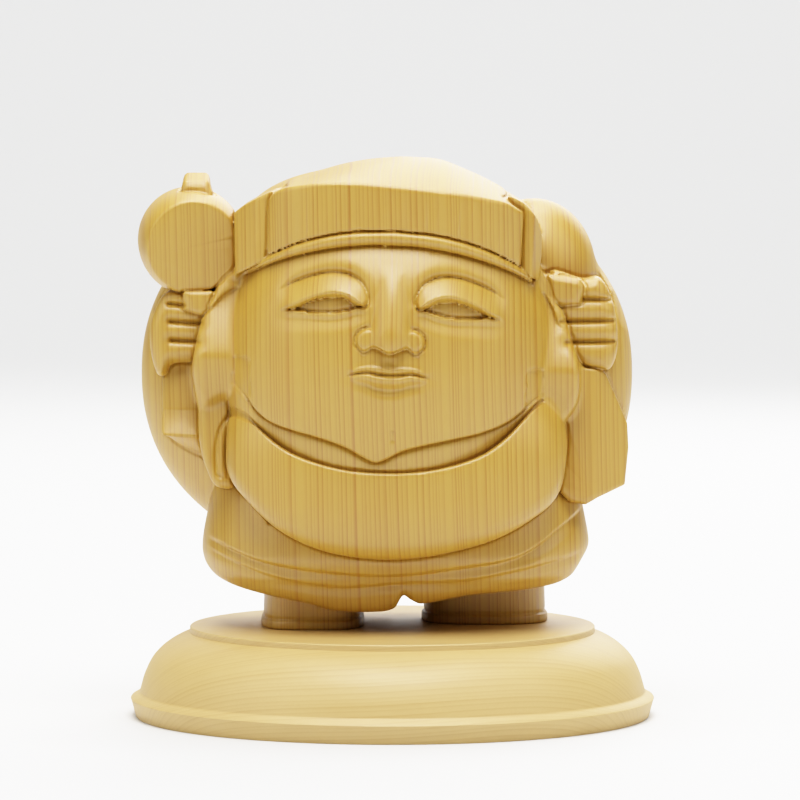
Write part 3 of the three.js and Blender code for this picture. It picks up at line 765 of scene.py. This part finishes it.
def carveMallet():
    half, centre = mallet["length"] / 2, np.array(mallet["centre"])

    def distance(x, y, z):
        px, py, pz = turned([v - c for v, c in zip((x, y, z), mallet["centre"])], mallet["turn"])
        t = np.clip(np.abs(py) / half, 0, 1)
        radius = mallet["endRadius"] + (mallet["radius"] - mallet["endRadius"]) * (1 - t ** mallet["swell"])
        return softMax((np.hypot(px, pz) - radius) * mallet["slant"], np.abs(py) - half, mallet["edge"])

    addForm((centre - mallet["reach"], centre + mallet["reach"], distance), 0, mallet["crease"])
    stub = mallet["stub"]

    def stubDistance(x, y, z):
        rise = np.clip((z - stub["bottom"]) / (stub["top"] - stub["bottom"]), 0, 1)
        flare = stub["foot"] * np.exp(-np.maximum(z - stub["footTop"], 0) / stub["footDrop"])
        half = (stub["width"] + (stub["topWidth"] - stub["width"]) * rise) / 2 + flare
        flat = section(x - stub["x"], y - stub["y"], half, half, half, stub["power"])
        above = z - stub["top"] - stub["topLean"] * (y - stub["y"])
        return softMax(flat, above * stub["slant"], stub["edge"])

    low = stub["x"] + stub["low"][0], stub["y"] + stub["low"][1], stub["bottom"]
    high = stub["x"] + stub["high"][0], stub["y"] + stub["high"][1], stub["top"]
    addForm((low, high, stubDistance), 0, stub["crease"])


def carveHands():
    for hand in hands.values():
        thumb = hand["thumb"]
        addForm(board(hand["outline"], hand["span"], hand["rounding"]), 0, handCrease)
        addForm(board(thumb["outline"], thumb["span"], thumb["rounding"], smoothed=False), 0, thumbCrease)

    def relief(x, z):
        out = 0
        for hand in hands.values():
            for start, end in hand["grooves"]:
                far = segmentDistance(start, end, x, z)
                out = out - fingers["cut"] * hill(far, fingers["cutWidth"])
                out = out - fingers["hollow"] * hill(far, fingers["hollowWidth"])
        return out

    for hand in hands.values():
        press(*hand["window"], relief, -1, fingers["back"])


def carveSleeves():
    right, left, shoulder = sleeves["right"], sleeves["left"], sleeves["shoulder"]
    cuff = board(right["profile"], (right["left"], right["right"]), right["rounding"], "side", False)

    def cuffDistance(x, y, z):
        across, behind = x - right["left"], y - right["profile"][2][0]
        under = right["bottom"] - right["lower"] * across - right["hollow"] * across * behind
        return softMax(cuff[2](x, y, z), (under - z) * right["slant"], right["edge"])

    addForm((cuff[0], cuff[1], cuffDistance), 0, sleeves["crease"])
    addForm(board(shoulder["outline"], shoulder["span"], shoulder["rounding"]), 0, sleeves["crease"])
    slab = board(left["outline"], left["span"], left["rounding"], "front", False)

    def distance(x, y, z):
        front = left["span"][0] + left["fall"] * np.maximum(x - left["fallFrom"], 0)
        return softMax(slab[2](x, y, z), (front - y) * left["slant"], left["edge"])

    addForm((slab[0], slab[1], distance), 0, sleeves["crease"])

    def hems(x, z):
        lines = [away(drawn(hem), x, z) for hem in sleeves["hems"]]
        return -sleeves["hemDepth"] * sum(hill(line, sleeves["hemWidth"]) for line in lines)

    press(*sleeves["hemWindow"], hems, -1, sleeves["hemBack"])


def carveFigure():
    carveSack()
    pressSack()
    print("sack carved")
    carveRobe()
    carveFeet()
    pressSkirt()
    carveSleeves()
    carveBelly()
    print("body carved")
    carveFace()
    carveCap()
    carveEars()
    print("head carved")
    carveMallet()
    carveHands()
    print("hands and mallet carved")
    # the soles are cut level, and the grid's lowest layers stay empty
    field[:, :, gridAxes[2] < block["groundLayer"]] = block["margin"]
    cutForm((block["low"], (block["high"][0], block["high"][1], 0), lambda x, y, z: z + 0 * x + 0 * y))


def meshFrom(name, points, faces):
    mesh = bpy.data.meshes.new(name)
    mesh.vertices.add(len(points))
    mesh.vertices.foreach_set("co", np.asarray(points, np.float32).ravel())
    mesh.loops.add(faces.size)
    mesh.loops.foreach_set("vertex_index", np.asarray(faces, np.int32).ravel())
    mesh.polygons.add(len(faces))
    mesh.polygons.foreach_set("loop_start", np.arange(0, faces.size, faces.shape[1], dtype=np.int32))
    mesh.update(calc_edges=True)
    mesh.validate()
    return mesh


def placed(name, data):
    obj = bpy.data.objects.new(name, data)
    bpy.context.collection.objects.link(obj)
    return obj


# the carved surface as a mesh's points and faces
def liftSurface():
    grid = openvdb.FloatGrid(block["far"])
    grid.copyFromArray(field)
    points, quads = grid.convertToQuads(0.0)
    points = points * block["cell"] + np.array(block["low"])
    points[:, 2] += standing
    return points * mm, quads


def figurePiece():
    carveFigure()
    points, quads = liftSurface()
    print("surface has", len(quads), "faces")
    mesh = meshFrom("carvedFigure", points, quads)
    obj = placed("carvedFigure", mesh)
    thin = obj.modifiers.new("thin", "DECIMATE")
    thin.ratio = min(1.0, block["faces"] / (2 * len(quads)))
    done = bpy.data.meshes.new_from_object(obj.evaluated_get(bpy.context.evaluated_depsgraph_get()))
    obj.modifiers.clear()
    obj.data = done
    bpy.data.meshes.remove(mesh)
    done.name = "carvedFigure"
    done.shade_smooth()
    return obj


base = {
    "radius": baseHigh.x / mm, "flare": 1.2, "rimHeight": 4.6, "cove": (2.2, 1.4), "edge": 0.2,
    "sides": 288, "discRadius": 50.2, "discHeight": 1.5, "sharpFrom": 32,
    # the shoulder from the cove inwards and up to the disc, in shares of both ways
    "shoulder": [(0.0, 0.0), (0.03, 0.1), (0.1, 0.3), (0.228, 0.53), (0.38, 0.69), (0.57, 0.823),
                 (0.78, 0.925), (1.0, 1.0)],
    # the rim's rounded edges, out from its radius and up from its height
    "rimEdge": [(-0.1, -0.4), (0.0, -0.1), (-0.15, 0.15)], "coveEdge": [(0.5, -0.4), (0.05, 0.0)],
    # rings that only share out the faces of the level underside and disc
    "underRings": (20, 40, 55), "discRings": (48, 42, 34, 24, 12),
}


def baseProfile():
    b, height = base, baseHigh.z / mm
    rim, edge, disc = b["radius"], b["edge"], b["discRadius"]
    coveRadius, coveHeight = rim - b["cove"][0], b["rimHeight"] + b["cove"][1]
    across, up = disc - coveRadius, height - b["discHeight"] - coveHeight
    shoulder = [(coveRadius + across * inwards, coveHeight + up * rise) for inwards, rise in b["shoulder"]]
    profile = [(r, 0.0) for r in b["underRings"]]
    profile += [(rim - b["flare"] - edge, 0.0), (rim - b["flare"], edge)]
    profile += [(rim + out, b["rimHeight"] + rise) for out, rise in b["rimEdge"]]
    profile += [(coveRadius + out, coveHeight + rise) for out, rise in b["coveEdge"]]
    profile += [tuple(p) for p in drawn(shoulder, 8)[1:]]
    profile += [(disc, height - edge), (disc - edge, height)]
    return profile + [(r, height) for r in b["discRings"]]


def basePiece():
    rings, sides = baseProfile(), base["sides"]
    points = [(0, 0, 0)]
    for r, h in rings:
        for t in 2 * math.pi * np.arange(sides) / sides:
            points.append((r * mm * math.cos(t), r * mm * math.sin(t), h * mm))
    points.append((0, 0, rings[-1][1] * mm))
    top, last = len(points) - 1, 1 + (len(rings) - 1) * sides
    faces = []
    for i in range(sides):
        j = (i + 1) % sides
        faces += [(0, 1 + j, 1 + i), (last + i, last + j, top)]
        for low in range(1, last, sides):
            high = low + sides
            faces.append((low + i, low + j, high + j, high + i))
    mesh = bpy.data.meshes.new("turnedBase")
    mesh.from_pydata(points, [], faces)
    mesh.update()
    mesh.shade_smooth()
    mesh.set_sharp_from_angle(angle=math.radians(base["sharpFrom"]))
    return placed("turnedBase", mesh)


def socketsOf(group, inputs, outputs):
    for name, kind, value in inputs:
        made = group.interface.new_socket(name=name, in_out="INPUT", socket_type=kind)
        if value is not None:
            made.default_value = value
    for name, kind in outputs:
        group.interface.new_socket(name=name, in_out="OUTPUT", socket_type=kind)


grainRule = {
    "slowScale": 0.028, "slowAlong": 0.3, "yearScale": 0.21, "yearSway": 3.2, "yearRange": (0.45, 0.75),
    "lateWood": 2.6, "lineEnd": 0.9, "fibreScale": (3.2, 3.2, 0.14), "cloudScale": (0.09, 0.09, 0.035),
    "clouds": 0.3, "level": 0.12, "roughRange": 0.12, "ringHeight": 0.6, "fibreHeight": 0.5,
}


# growth rings round a far heart and fine fibres along z, for every piece of this wood
def grainGroup():
    group = bpy.data.node_groups.new("cypressGrain", "ShaderNodeTree")
    socketsOf(group, [
        ("Place", "NodeSocketVector", None),
        ("Heart", "NodeSocketVector", (0, 0, 0)),
        ("Tilt", "NodeSocketVector", (0, 0, 0)),
        ("Ring spacing mm", "NodeSocketFloat", 1.1),
        ("Waviness mm", "NodeSocketFloat", 1.2),
        ("Ring strength", "NodeSocketFloat", 0.5),
        ("Fibre strength", "NodeSocketFloat", 0.2),
        ("Pale", "NodeSocketColor", (0.8, 0.6, 0.35, 1)),
        ("Deep", "NodeSocketColor", (0.5, 0.3, 0.1, 1)),
        ("Gloss", "NodeSocketFloat", 0.45),
    ], [("Color", "NodeSocketColor"), ("Roughness", "NodeSocketFloat"), ("Height", "NodeSocketFloat")])
    nodes, links, rule = group.nodes, group.links, grainRule
    start, end = nodes.new("NodeGroupInput"), nodes.new("NodeGroupOutput")

    def mathNode(kind, a, b=None):
        node = nodes.new("ShaderNodeMath")
        node.operation = kind
        for socket, value in zip(node.inputs, (a, b)):
            if isinstance(value, (int, float)):
                socket.default_value = value
            elif value is not None:
                links.new(value, socket)
        return node.outputs[0]

    def vectorNode(kind, a, b):
        node = nodes.new("ShaderNodeVectorMath")
        node.operation = kind
        links.new(a, node.inputs[0])
        socket = node.inputs["Scale"] if kind == "SCALE" else node.inputs[1]
        if isinstance(b, (tuple, int, float)):
            socket.default_value = b
        else:
            links.new(b, socket)
        return node.outputs[0]

    def noise(place, scale, detail, roughness=0.5):
        node = nodes.new("ShaderNodeTexNoise")
        links.new(place, node.inputs["Vector"])
        node.inputs["Scale"].default_value = scale
        node.inputs["Detail"].default_value = detail
        node.inputs["Roughness"].default_value = roughness
        return node.outputs

    place = vectorNode("SCALE", start.outputs["Place"], 1000)
    turn = nodes.new("ShaderNodeMapping")
    links.new(place, turn.inputs["Vector"])
    links.new(start.outputs["Tilt"], turn.inputs["Rotation"])
    fromHeart = vectorNode("SUBTRACT", turn.outputs[0], start.outputs["Heart"])
    slow = noise(vectorNode("MULTIPLY", fromHeart, (1, 1, rule["slowAlong"])), rule["slowScale"], 2)
    sway = vectorNode("SUBTRACT", slow["Color"], (0.5, 0.5, 0.5))
    swayed = vectorNode("ADD", fromHeart, vectorNode("SCALE", sway, start.outputs["Waviness mm"]))
    across = vectorNode("MULTIPLY", swayed, (1, 1, 0))
    length = nodes.new("ShaderNodeVectorMath")
    length.operation = "LENGTH"
    links.new(across, length.inputs[0])
    rings = mathNode("DIVIDE", length.outputs["Value"], start.outputs["Ring spacing mm"])
    # uneven years: the ring count runs on faster and slower
    years = nodes.new("ShaderNodeTexNoise")
    years.noise_dimensions = "1D"
    links.new(rings, years.inputs["W"])
    years.inputs["Scale"].default_value = rule["yearScale"]
    years.inputs["Detail"].default_value = 2
    uneven = mathNode("ADD", rings, mathNode("MULTIPLY", years.outputs["Fac"], rule["yearSway"]))
    part = mathNode("FRACT", uneven)
    # early wood pales slowly, late wood darkens to a line and stops
    late = mathNode("POWER", part, rule["lateWood"])
    stop = nodes.new("ShaderNodeMapRange")
    links.new(part, stop.inputs["Value"])
    stop.inputs["From Min"].default_value = rule["lineEnd"]
    stop.inputs["From Max"].default_value = 1
    stop.inputs["To Min"].default_value = 1
    stop.inputs["To Max"].default_value = 0
    stop.interpolation_type = "SMOOTHSTEP"
    line = mathNode("MULTIPLY", late, stop.outputs[0])
    # some years are darker than others
    odd = nodes.new("ShaderNodeTexWhiteNoise")
    odd.noise_dimensions = "1D"
    links.new(mathNode("FLOOR", uneven), odd.inputs["W"])
    least, more = rule["yearRange"]
    yearly = mathNode("ADD", mathNode("MULTIPLY", odd.outputs["Value"], more), least)
    line = mathNode("MULTIPLY", line, yearly)
    strong = mathNode("MULTIPLY", line, start.outputs["Ring strength"])

    fibre = noise(vectorNode("MULTIPLY", fromHeart, rule["fibreScale"]), 1.0, 3, 0.6)["Fac"]
    cloudy = noise(vectorNode("MULTIPLY", fromHeart, rule["cloudScale"]), 1.0, 2)["Fac"]
    fibres = mathNode("MULTIPLY", mathNode("SUBTRACT", fibre, 0.5), start.outputs["Fibre strength"])
    clouds = mathNode("MULTIPLY", mathNode("SUBTRACT", cloudy, 0.5), rule["clouds"])
    depth = mathNode("ADD", mathNode("ADD", strong, fibres), mathNode("ADD", clouds, rule["level"]))
    mix = nodes.new("ShaderNodeMix")
    mix.data_type = "RGBA"
    links.new(mathNode("MINIMUM", mathNode("MAXIMUM", depth, 0.0), 1.0), mix.inputs["Factor"])
    links.new(start.outputs["Pale"], mix.inputs[6])
    links.new(start.outputs["Deep"], mix.inputs[7])
    links.new(mix.outputs[2], end.inputs["Color"])
    uneven = mathNode("MULTIPLY", mathNode("SUBTRACT", fibre, line), rule["roughRange"])
    links.new(mathNode("ADD", start.outputs["Gloss"], uneven), end.inputs["Roughness"])
    raised = mathNode("MULTIPLY", line, rule["ringHeight"])
    links.new(mathNode("ADD", raised, mathNode("MULTIPLY", fibre, rule["fibreHeight"])), end.inputs["Height"])
    return group


woodFinish = {
    "carvedWood": {
        "Heart": (-420.0, -12.0, 0.0), "Tilt": (0.0, math.radians(1.2), 0.0), "Ring spacing mm": 1.15,
        "Waviness mm": 2.2, "Ring strength": 0.95, "Fibre strength": 0.2, "Gloss": 0.4,
        "Pale": (0.5, 0.31, 0.05, 1), "Deep": (0.35, 0.155, 0.01, 1),
    },
    "turnedWood": {
        "Heart": (45.0, -62.0, 0.0), "Tilt": (0.0, math.radians(-87.0), 0.0), "Ring spacing mm": 1.1,
        "Waviness mm": 2.0, "Ring strength": 0.5, "Fibre strength": 0.25, "Gloss": 0.47,
        "Pale": (0.62, 0.44, 0.175, 1), "Deep": (0.45, 0.27, 0.07, 1),
    },
}
reflectance = {"carvedWood": 1.0, "turnedWood": 0.9}
woodBump = {"strength": 0.12, "distance": 0.2 * mm}


def woodMaterial(name, group):
    material = bpy.data.materials.new(name)
    material.use_nodes = True
    nodes, links = material.node_tree.nodes, material.node_tree.links
    shader = nodes["Principled BSDF"]
    place = nodes.new("ShaderNodeTexCoord")
    grain = nodes.new("ShaderNodeGroup")
    grain.node_tree = group
    links.new(place.outputs["Object"], grain.inputs["Place"])
    for key, value in woodFinish[name].items():
        grain.inputs[key].default_value = value
    relief = nodes.new("ShaderNodeBump")
    relief.inputs["Strength"].default_value = woodBump["strength"]
    relief.inputs["Distance"].default_value = woodBump["distance"]
    links.new(grain.outputs["Height"], relief.inputs["Height"])
    links.new(grain.outputs["Color"], shader.inputs["Base Color"])
    links.new(grain.outputs["Roughness"], shader.inputs["Roughness"])
    links.new(relief.outputs["Normal"], shader.inputs["Normal"])
    shader.inputs["Specular IOR Level"].default_value = reflectance[name]
    return material


figure = figurePiece()
print("figure has", len(figure.data.polygons), "faces")
turnedBase = basePiece()
grain = grainGroup()
figure.data.materials.append(woodMaterial("carvedWood", grain))
turnedBase.data.materials.append(woodMaterial("turnedWood", grain))
for piece, node, slot in ((figure, "figure", "figure_wood"), (turnedBase, "base", "base_wood")):
    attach(piece, "root")
    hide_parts(node)
print("pieces in place")


studio = {
    "width": 9.0, "front": -3.5, "sweepStart": 1.7, "sweepRadius": 1.2, "sweepSteps": 25, "top": 4.0,
    "paint": (0.8, 0.8, 0.793, 1), "paintRoughness": 0.7, "paintReflectance": 0.2,
    "sky": (0.95, 0.975, 1.0, 1), "skyStrength": 0.13, "seenSky": 1.2,
    "lights": {
        "keyLight": {"place": (0.0, -0.48, 1.12), "aim": (0, 0, 0.06), "size": 0.75, "power": 19.5},
        "leftLight": {"place": (-0.95, -0.4, 0.65), "aim": (0, 0, 0.06), "size": 0.9, "power": 5.8},
        "rightLight": {"place": (0.9, -0.4, 0.75), "aim": (0, 0, 0.06), "size": 0.9, "power": 5.6},
        "topLight": {"place": (0.0, 0.15, 1.25), "aim": (0, 0, 0.06), "size": 0.9, "power": 7.0},
        "backLight": {"place": (0.35, 0.9, 0.7), "aim": (0, 0, 0.06), "size": 0.9, "power": 10.0},
        "wallLight": {"place": (0.0, 0.9, 2.4), "aim": (0, 2.9, 0.6), "size": 1.6, "power": 95.0},
    },
}


# a pale paper sweep: floor, bend and wall in one
def paperSweep():
    half, r = studio["width"] / 2, studio["sweepRadius"]
    side = [(studio["front"], 0.0), (0.0, 0.0)]
    for t in np.linspace(0, math.pi / 2, studio["sweepSteps"]):
        side.append((studio["sweepStart"] + r * math.sin(t), r - r * math.cos(t)))
    side.append((studio["sweepStart"] + r, studio["top"]))
    points = [(x, y, z) for y, z in side for x in (-half, half)]
    faces = [(2 * i, 2 * i + 1, 2 * i + 3, 2 * i + 2) for i in range(len(side) - 1)]
    mesh = bpy.data.meshes.new("paperSweep")
    mesh.from_pydata(points, [], faces)
    mesh.shade_smooth()
    paint = bpy.data.materials.new("palePaper")
    paint.use_nodes = True
    shader = paint.node_tree.nodes["Principled BSDF"]
    shader.inputs["Base Color"].default_value = studio["paint"]
    shader.inputs["Roughness"].default_value = studio["paintRoughness"]
    shader.inputs["Specular IOR Level"].default_value = studio["paintReflectance"]
    mesh.materials.append(paint)
    return placed("paperSweep", mesh)


# a faint sky, which the camera alone sees brighter
def buildSky():
    world = bpy.data.worlds.new("studio")
    bpy.context.scene.world = world
    world.use_nodes = True
    nodes, links = world.node_tree.nodes, world.node_tree.links
    sky = nodes["Background"]
    sky.inputs["Color"].default_value = studio["sky"]
    look = nodes.new("ShaderNodeLightPath")
    strength = nodes.new("ShaderNodeMapRange")
    strength.inputs["To Min"].default_value = studio["skyStrength"]
    strength.inputs["To Max"].default_value = studio["seenSky"]
    links.new(look.outputs["Is Camera Ray"], strength.inputs["Value"])
    links.new(strength.outputs[0], sky.inputs["Strength"])


def buildStudio():
    paperSweep()
    buildSky()
    for name, light in studio["lights"].items():
        data = bpy.data.lights.new(name, "AREA")
        data.size, data.energy = light["size"], light["power"]
        lamp = placed(name, data)
        lamp.location = light["place"]
        aim = Vector(light["aim"]) - lamp.location
        lamp.rotation_euler = aim.to_track_quat("-Z", "Y").to_euler()
    print("studio lit")


camera = {
    "distance": 1.4, "sideways": 0.00187, "above": 5.7, "pitch": 3.4294, "lens": 254.9, "sensor": 36.0,
    "clip": (0.05, 50),
}


def buildCamera():
    data = bpy.data.cameras.new("camera")
    data.lens, data.sensor_width = camera["lens"], camera["sensor"]
    data.clip_start, data.clip_end = camera["clip"]
    obj = placed("camera", data)
    height = baseHigh.z + camera["distance"] * math.tan(math.radians(camera["above"]))
    obj.location = (camera["sideways"], -camera["distance"], height)
    obj.rotation_euler = (math.radians(90 - camera["pitch"]), 0, 0)
    bpy.context.scene.camera = obj


response = {"contrast": 1.25, "knee": 0.13, "white": 5.0, "points": 24, "crowding": 1.8}


# the camera's response to light: contrast in the darks and a long shoulder
def setResponse():
    view = bpy.context.scene.view_settings
    view.view_transform = "Standard"
    view.use_curve_mapping = True
    view.curve_mapping.white_level = (response["white"],) * 3
    line, knee, count = view.curve_mapping.curves[3], response["knee"], response["points"]
    for i in range(count + 1):
        x = (i / count) ** response["crowding"]
        light = (x * response["white"]) ** response["contrast"]
        y = light if light < knee else knee + (1 - knee) * (1 - math.exp(-(light - knee) / (1 - knee)))
        if i == 0 or i == count:
            line.points[0 if i == 0 else -1].location = (x, y)
        else:
            line.points.new(x, y)
    view.curve_mapping.update()


buildStudio()
buildCamera()
setResponse()
